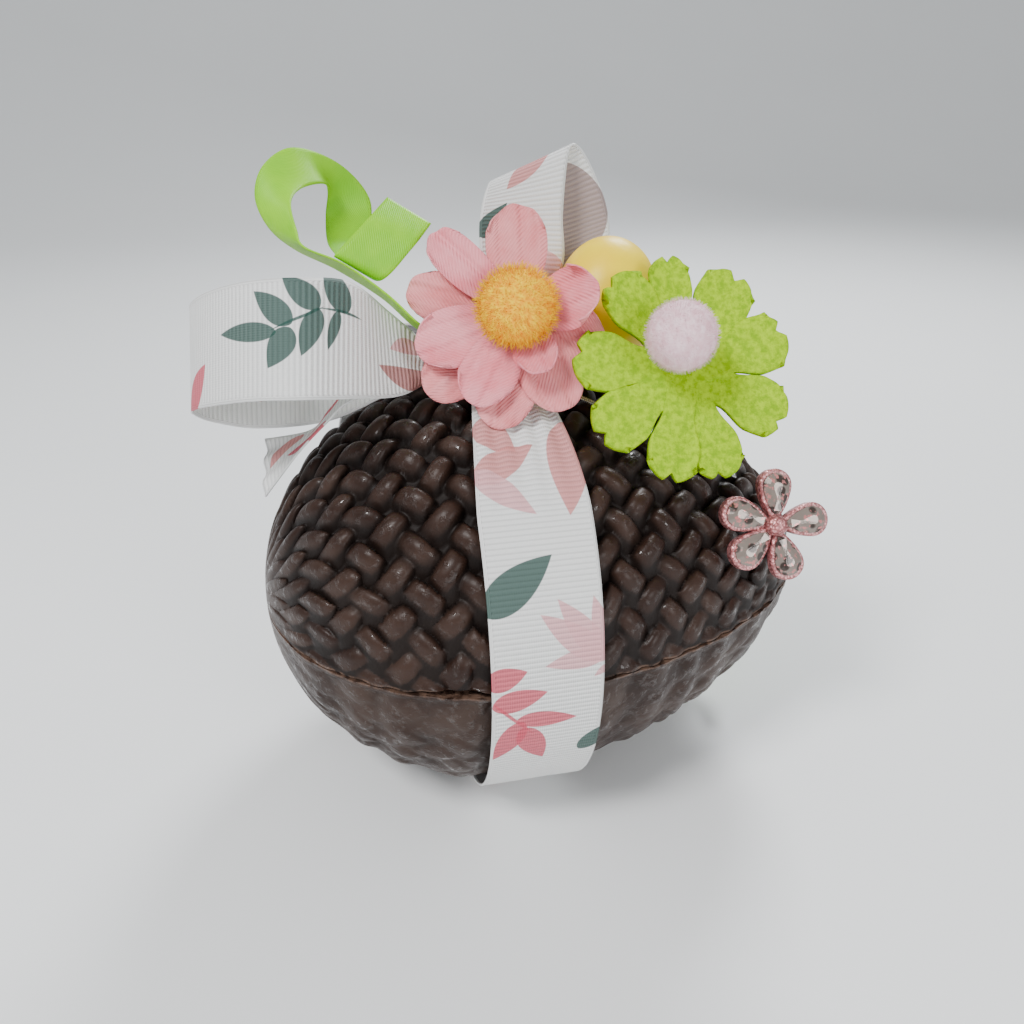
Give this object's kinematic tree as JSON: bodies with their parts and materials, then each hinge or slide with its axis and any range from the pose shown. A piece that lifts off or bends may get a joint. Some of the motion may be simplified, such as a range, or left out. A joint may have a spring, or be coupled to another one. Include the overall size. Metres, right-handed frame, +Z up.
{
  "type": "chocolate easter egg",
  "caption": "Basket-weave moulded chocolate egg lying on its side, tied with printed ribbon and topped by cloth and felt flowers.",
  "frame": {"origin": "middle of the small flat underneath, where the ribbon round the egg rests", "axes": "+X along the egg's axis to the pointed end, -Y to the viewer, +Z up"},
  "size_m": [0.1538, 0.1107, 0.1593],
  "materials": {
    "chocolate": "glossy dark chocolate",
    "printed_ribbon": "white ribbed ribbon with a leaf print",
    "green_satin": "lime green satin",
    "pink_cloth": "pink stiffened cloth",
    "yellow_fluff": "orange yellow fluff",
    "yellow_shell": "satin yellow",
    "green_felt": "lime green felt",
    "pink_pompom": "pale pink pompom",
    "rose_gem": "clear faceted petals with rose glitter rims",
    "silver_cord": "silver metallic thread"
  },
  "bodies": {
    "root": {"egg_upper_half": "chocolate", "egg_lower_half": "chocolate", "ribbon_band": "printed_ribbon", "ribbon_knot": "printed_ribbon", "bow_loop_left": "printed_ribbon", "bow_loop_upright": "printed_ribbon", "ribbon_tail_left": "printed_ribbon", "ribbon_tail_back": "printed_ribbon", "green_curl": "green_satin", "green_tail": "green_satin", "pink_flower_stem": "green_satin", "felt_flower_stem": "green_satin", "pink_petals_front": "pink_cloth", "pink_petals_back": "pink_cloth", "pink_flower_centre": "yellow_fluff", "yellow_egg": "yellow_shell", "felt_flower": "green_felt", "felt_pompom": "pink_pompom", "gem_flower": "rose_gem", "silver_cord_upper": "silver_cord", "silver_cord_lower": "silver_cord"}
  },
  "joints": []
}
